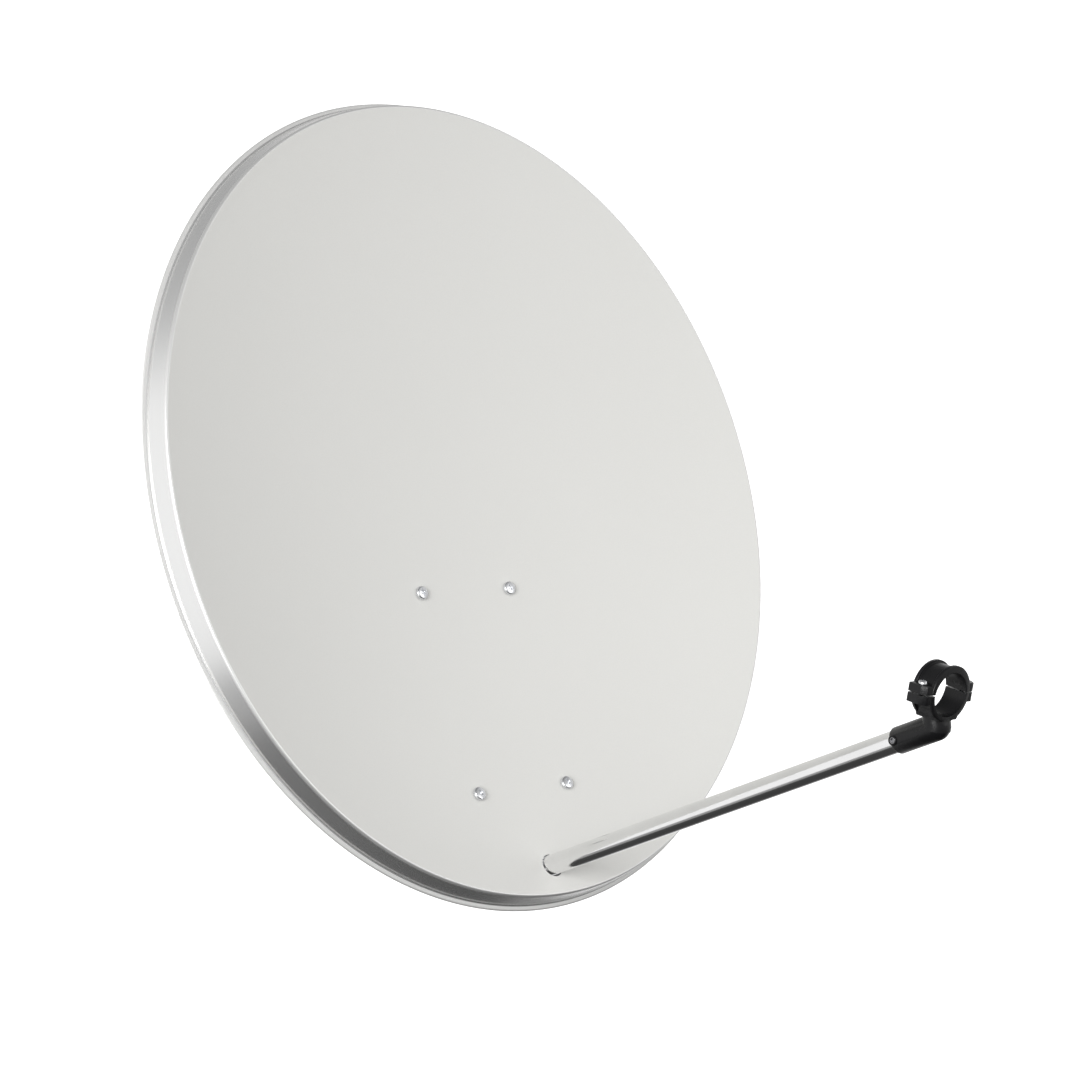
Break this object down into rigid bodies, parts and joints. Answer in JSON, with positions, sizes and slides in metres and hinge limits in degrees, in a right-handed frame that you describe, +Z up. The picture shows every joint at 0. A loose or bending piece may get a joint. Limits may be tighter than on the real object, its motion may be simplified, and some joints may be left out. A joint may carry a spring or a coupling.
{
  "type": "offset dish antenna with feed arm and mast bracket",
  "caption": "Offset dish antenna: painted steel reflector, bright feed arm with an empty receiver clamp, on a bracket that tilts and clamps to a mast.",
  "frame": {"origin": "middle of the mast bracket's web, on its rear face, which is turned to the mast", "axes": "+Z up along the mast, +Y from the antenna back towards the mast, +X to the antenna's left as seen from behind; the antenna looks towards -Y and upward"},
  "size_m": [0.7712, 0.8042, 0.796],
  "materials": {
    "reflector_paint": "matte fine-grained powder coat",
    "galvanised_steel": "dull hot-dip zinc",
    "arm_chrome": "bright plated tube",
    "black_plastic": "moulded, slight sheen",
    "zinc_fastener": "bright zinc plate"
  },
  "bodies": {
    "mast_clamp": {"mast_bracket": "galvanised_steel", "mast_jaw_upper": "galvanised_steel", "mast_jaw_lower": "galvanised_steel", "jaw_bolt_upper_left": "zinc_fastener", "jaw_bolt_upper_right": "zinc_fastener", "jaw_bolt_lower_left": "zinc_fastener", "jaw_bolt_lower_right": "zinc_fastener", "jaw_nut_upper_left": "zinc_fastener", "jaw_nut_upper_right": "zinc_fastener", "jaw_nut_lower_left": "zinc_fastener", "jaw_nut_lower_right": "zinc_fastener", "pivot_bolt": "zinc_fastener", "pivot_nut": "zinc_fastener", "lock_bolt_left": "zinc_fastener", "lock_bolt_right": "zinc_fastener", "lock_nut_left": "zinc_fastener", "lock_nut_right": "zinc_fastener"},
    "dish": {"reflector": "reflector_paint", "reflector_bolt_upper_left": "zinc_fastener", "reflector_bolt_upper_right": "zinc_fastener", "reflector_bolt_lower_left": "zinc_fastener", "reflector_bolt_lower_right": "zinc_fastener", "reflector_nut_upper_left": "zinc_fastener", "reflector_nut_upper_right": "zinc_fastener", "reflector_nut_lower_left": "zinc_fastener", "reflector_nut_lower_right": "zinc_fastener", "reflector_bracket": "galvanised_steel", "feed_arm": "arm_chrome", "arm_end_cap": "black_plastic", "arm_bolt": "zinc_fastener", "arm_nut": "zinc_fastener", "lnb_holder": "black_plastic", "lnb_clamp_cap": "black_plastic", "clamp_screw_left": "zinc_fastener", "clamp_screw_right": "zinc_fastener", "holder_screw": "zinc_fastener"}
  },
  "joints": [
    {"name": "elevation_tilt", "type": "hinge", "parent": "mast_clamp", "child": "dish", "pos_m": [0, -0.045, 0.05], "axis": [-1, 0, 0], "range_deg": [-22, 18]}
  ]
}
